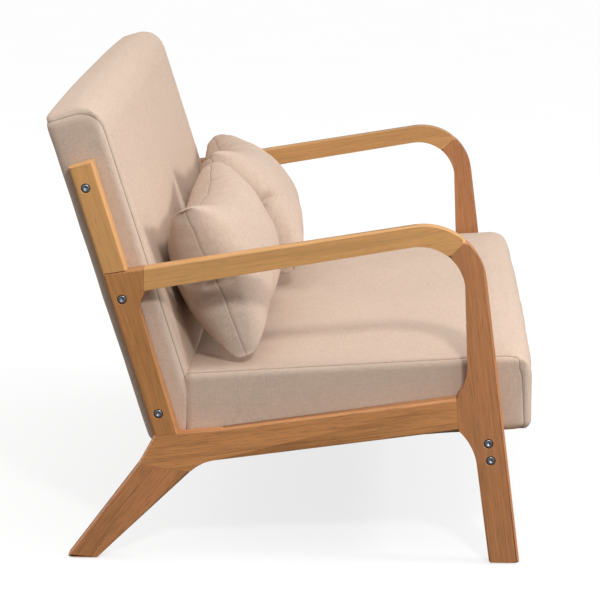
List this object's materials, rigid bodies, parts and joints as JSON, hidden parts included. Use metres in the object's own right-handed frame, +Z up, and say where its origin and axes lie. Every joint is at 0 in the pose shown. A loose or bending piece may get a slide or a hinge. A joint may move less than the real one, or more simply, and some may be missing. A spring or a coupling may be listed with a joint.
{
  "type": "sofa",
  "caption": "Small sofa with curved wooden side frames that form its legs and arms, an upholstered seat, a reclined upholstered back, and loose lumbar pillows.",
  "frame": {"origin": "middle of the overall width and depth, on the floor under the feet", "axes": "+X along the length, to the sitter's left; +Y towards the back, so the sitter faces -Y; +Z up"},
  "size_m": [1.265, 0.8377, 0.8059],
  "materials": {
    "oak": "satin",
    "linen": "matte",
    "pillow_linen": "matte",
    "black_steel": "satin",
    "zinc_steel": "satin",
    "pine": "matte",
    "board": "matte",
    "webbing": "matte",
    "foam": "matte",
    "dust_cloth": "matte",
    "fibre_fill": "matte",
    "nylon": "matte"
  },
  "bodies": {
    "frame": {"right_front_leg": "oak", "right_arm_rail": "oak", "right_rear_upright": "oak", "right_upper_post": "oak", "right_side_rail": "oak", "right_rear_leg": "oak", "right_front_glide": "nylon", "right_rear_glide": "nylon", "right_back_upper_bolt": "black_steel", "right_back_upper_washer": "zinc_steel", "right_back_middle_bolt": "black_steel", "right_back_middle_washer": "zinc_steel", "right_back_lower_bolt": "black_steel", "right_back_lower_washer": "zinc_steel", "right_front_upper_bolt": "black_steel", "right_front_upper_washer": "zinc_steel", "right_front_lower_bolt": "black_steel", "right_front_lower_washer": "zinc_steel", "left_front_leg": "oak", "left_arm_rail": "oak", "left_rear_upright": "oak", "left_upper_post": "oak", "left_side_rail": "oak", "left_rear_leg": "oak", "left_front_glide": "nylon", "left_rear_glide": "nylon", "left_back_upper_bolt": "black_steel", "left_back_upper_washer": "zinc_steel", "left_back_middle_bolt": "black_steel", "left_back_middle_washer": "zinc_steel", "left_back_lower_bolt": "black_steel", "left_back_lower_washer": "zinc_steel", "left_front_upper_bolt": "black_steel", "left_front_upper_washer": "zinc_steel", "left_front_lower_bolt": "black_steel", "left_front_lower_washer": "zinc_steel", "front_stretcher": "oak", "seat_cover": "linen", "back_cover": "linen", "back_outer_panel": "linen", "seat_foam": "foam", "back_foam": "foam", "seat_dust_cover": "dust_cloth", "seat_frame_front": "pine", "seat_frame_rear": "pine", "seat_frame_right": "pine", "seat_frame_left": "pine", "back_frame_right_stile": "pine", "back_frame_left_stile": "pine", "back_frame_top_rail": "pine", "back_frame_bottom_rail": "pine", "seat_webbing_1": "webbing", "seat_webbing_2": "webbing", "seat_webbing_3": "webbing", "back_board": "board"},
    "right_pillow": {"right_pillow_cover": "pillow_linen", "right_pillow_insert": "fibre_fill"},
    "left_pillow": {"left_pillow_cover": "pillow_linen", "left_pillow_insert": "fibre_fill"}
  },
  "joints": [
    {"name": "right_pillow_lift", "type": "slide", "parent": "frame", "child": "right_pillow", "axis": [0, 0, 1], "range_m": [0, 0.35]},
    {"name": "left_pillow_lift", "type": "slide", "parent": "frame", "child": "left_pillow", "axis": [0, 0, 1], "range_m": [0, 0.35]}
  ]
}
